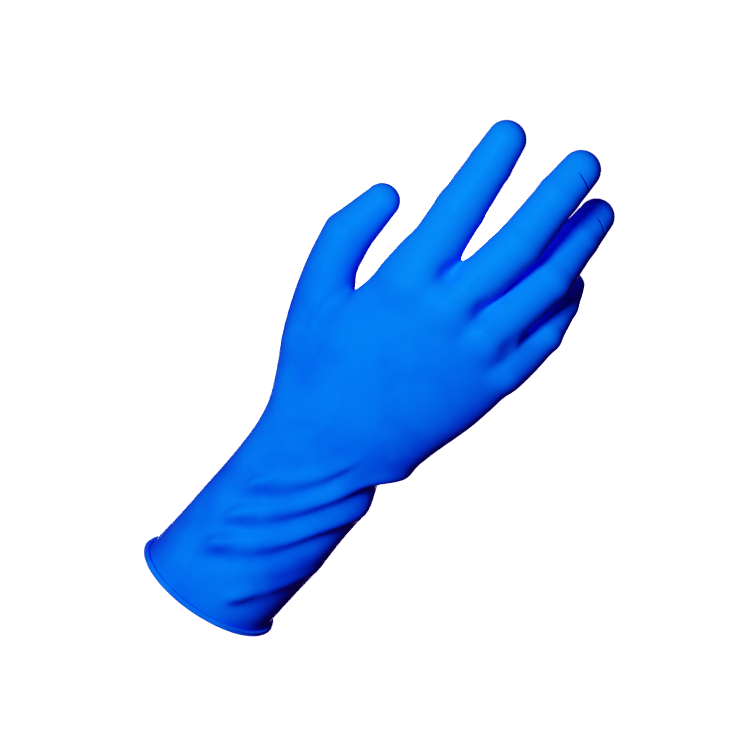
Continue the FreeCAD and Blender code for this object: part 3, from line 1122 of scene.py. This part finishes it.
class GloveSizes(bpy.types.PropertyGroup):
    """Sizes of the film and the bead."""

    film: bpy.props.FloatProperty(name="Film", description="Thickness of the rubber", default=0.0005,
                                  unit="LENGTH")
    cell: bpy.props.FloatProperty(name="Mesh spacing", description="Size of the film's faces",
                                  default=0.001, unit="LENGTH")
    joint_fillet: bpy.props.FloatProperty(name="Joint fillet", default=0.0012, unit="LENGTH",
                                          description="Rounding at the finger joints")
    web_fillet: bpy.props.FloatProperty(name="Web fillet", default=0.0075, unit="LENGTH",
                                        description="Rounding between fingers and hand")
    thumb_fillet: bpy.props.FloatProperty(name="Thumb fillet", default=0.006, unit="LENGTH",
                                          description="Rounding between thumb and hand")
    fold_depth: bpy.props.FloatProperty(name="Fold depth", default=0.002, unit="LENGTH",
                                        description="Depth of the folds pushed up at the wrist")
    bead_groove: bpy.props.FloatProperty(name="Bead groove", default=0.0005, unit="LENGTH",
                                         description="Depth of the groove where the roll closes")
    bead_unevenness: bpy.props.FloatProperty(name="Bead unevenness", default=0.05,
                                             description="Share by which the roll's thickness varies")


class GloveColours(bpy.types.PropertyGroup):
    """Colours of the glove and the floor."""

    film_light: bpy.props.FloatVectorProperty(name="Film", description="Colour of the film", size=3,
                                              default=linear("#038AF2")[:3], subtype="COLOR")
    film_deep: bpy.props.FloatVectorProperty(name="Film, thick", description="Colour where it is thick",
                                             size=3, default=linear("#0279E6")[:3], subtype="COLOR")
    # the paler colour that the film turns to towards the fingers
    film_near_fingers: bpy.props.FloatVectorProperty(name="Film, fingerward", size=3, subtype="COLOR",
                                                  default=linear("#0695FB")[:3],
                                                  description="Colour over the fingers")
    bead: bpy.props.FloatVectorProperty(name="Bead", description="Colour of the rolled bead", size=3,
                                        default=linear("#0590F4")[:3], subtype="COLOR")
    floor: bpy.props.FloatVectorProperty(name="Floor", description="Colour of the floor", size=3,
                                         default=linear("#F4F5F6")[:3], subtype="COLOR")


class GloveStage(bpy.types.PropertyGroup):
    """Lights and floor."""

    key: bpy.props.FloatProperty(name="Key light", description="Power of the main light", default=20.0,
                                 unit="POWER")
    back: bpy.props.FloatProperty(name="Back light", description="Power of the light on the palm side",
                                  default=14.0, unit="POWER")
    ambient: bpy.props.FloatProperty(name="Surroundings", description="Brightness of the surroundings",
                                     default=0.05)
    floor_drop: bpy.props.FloatProperty(name="Floor drop", description="How far the floor lies below",
                                        default=0.35, unit="LENGTH")


def sizes():
    """The sizes that the user can change."""
    return bpy.context.scene.glove_sizes


def colours():
    """The colours that the user can change."""
    return bpy.context.scene.glove_colours


def stage_settings():
    """The lights and floor that the user can change."""
    return bpy.context.scene.glove_stage


# ---------------------------------------------------------------- operators


class GLOVE_OT_bead(bpy.types.Operator):
    """Roll the bead round the cuff's mouth"""

    bl_idname = "glove.bead"
    bl_label = "Rolled bead"

    def execute(self, context):
        mesh = bead_mesh()
        mesh.materials.append(bead_material())
        thing = add_object(mesh.name, mesh)
        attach(thing, BODY_OF["cuff_bead"])
        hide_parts("cuff_bead")
        return {"FINISHED"}


class GLOVE_OT_cuff(bpy.types.Operator):
    """Lay the film of the cuff and the wrist"""

    bl_idname = "glove.cuff"
    bl_label = "Cuff and wrist"

    def execute(self, context):
        for zone in body_cuts()[1][:4]:
            place_zone(zone, film_material())
        return {"FINISHED"}


class GLOVE_OT_hand(bpy.types.Operator):
    """Lay the film of the hand and the webs"""

    bl_idname = "glove.hand"
    bl_label = "Hand"

    def execute(self, context):
        for zone in body_cuts()[1][4:]:
            place_zone(zone, film_material())
        return {"FINISHED"}


class GLOVE_OT_thumb(bpy.types.Operator):
    """Lay the film of the thumb"""

    bl_idname = "glove.thumb"
    bl_label = "Thumb"

    def execute(self, context):
        for zone in thumb_cuts()[1]:
            place_zone(zone, film_material())
        return {"FINISHED"}


class GLOVE_OT_fingers(bpy.types.Operator):
    """Lay the film of the four fingers"""

    bl_idname = "glove.fingers"
    bl_label = "Fingers"

    def execute(self, context):
        for name in FINGERS:
            for zone in finger_cuts(name)[1]:
                place_zone(zone, film_material(NAIL_SHADED_TIPS.get(zone)))
        return {"FINISHED"}


class GLOVE_OT_stage(bpy.types.Operator):
    """Set the floor, the lights and the camera"""

    bl_idname = "glove.stage"
    bl_label = "Stage"

    def execute(self, context):
        right, up, back = camera_axes()
        settings = stage_settings()
        add_camera()
        beside, above, behind = KEY_DIRECTION
        towards = right * beside + up * above + back * behind
        add_light("key", towards, KEY_SIZE, settings.key)
        add_light("palm_side", -back, BACK_SIZE, settings.back)
        add_floor()
        add_world()
        set_picture_tone()
        return {"FINISHED"}


class GLOVE_PT_panel(bpy.types.Panel):
    """Everything that builds the glove"""

    bl_idname = "GLOVE_PT_panel"
    bl_label = "Rubber glove"
    bl_space_type = "VIEW_3D"
    bl_region_type = "UI"
    bl_category = "Glove"

    def draw(self, context):
        for operator in OPERATORS:
            self.layout.operator(operator.bl_idname)
        for group in (sizes(), colours(), stage_settings()):
            for name in group.__annotations__:
                self.layout.prop(group, name)


OPERATORS = (GLOVE_OT_bead, GLOVE_OT_cuff, GLOVE_OT_hand, GLOVE_OT_thumb, GLOVE_OT_fingers,
             GLOVE_OT_stage)
GROUPS = {"glove_sizes": GloveSizes, "glove_colours": GloveColours, "glove_stage": GloveStage}


def register():
    """Adds the settings, the operators and the panel."""
    for name, group in GROUPS.items():
        bpy.utils.register_class(group)
        setattr(bpy.types.Scene, name, bpy.props.PointerProperty(type=group))
    for operator in OPERATORS:
        bpy.utils.register_class(operator)
    bpy.utils.register_class(GLOVE_PT_panel)


def unregister():
    """Takes them away again."""
    bpy.utils.unregister_class(GLOVE_PT_panel)
    for operator in reversed(OPERATORS):
        bpy.utils.unregister_class(operator)
    for name, group in GROUPS.items():
        delattr(bpy.types.Scene, name)
        bpy.utils.unregister_class(group)


def main():
    """Builds every piece."""
    register()
    bpy.ops.glove.bead()
    bpy.ops.glove.cuff()
    bpy.ops.glove.hand()
    bpy.ops.glove.thumb()
    bpy.ops.glove.fingers()
    bpy.ops.glove.stage()


if __name__ == "__main__":
    main()
